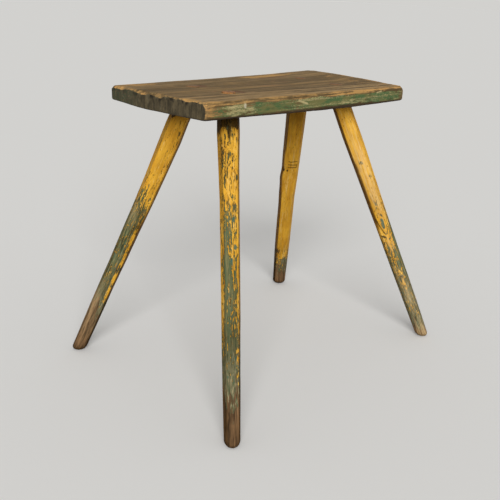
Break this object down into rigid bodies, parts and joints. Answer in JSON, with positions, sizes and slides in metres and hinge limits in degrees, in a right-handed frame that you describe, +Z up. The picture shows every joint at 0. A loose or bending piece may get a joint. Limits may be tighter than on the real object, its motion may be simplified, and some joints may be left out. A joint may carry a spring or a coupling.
{
  "type": "milking stool",
  "caption": "Low country stool: a plank seat on raked, tapered, eight-sided legs whose wedged tenons pass through the plank; worn paint over bare wood.",
  "frame": {"origin": "on the floor, in the middle of the rectangle that the feet stand in", "axes": "+X along the seat to its right end, +Y to its back edge, +Z up"},
  "size_m": [0.5472, 0.4094, 0.46],
  "materials": {
    "seat_wood": "bare, worn and greyed on top, old green paint on the edges",
    "leg_wood": "worn ochre paint over green paint, bare at the feet",
    "wedge_wood": "bare end grain, darkened by use"
  },
  "bodies": {
    "root": {"seat_board": "seat_wood", "leg_front_left": "leg_wood", "leg_front_right": "leg_wood", "leg_back_right": "leg_wood", "leg_back_left": "leg_wood", "wedge_front_left": "wedge_wood", "wedge_front_right": "wedge_wood", "wedge_back_right": "wedge_wood", "wedge_back_left": "wedge_wood"}
  },
  "joints": []
}
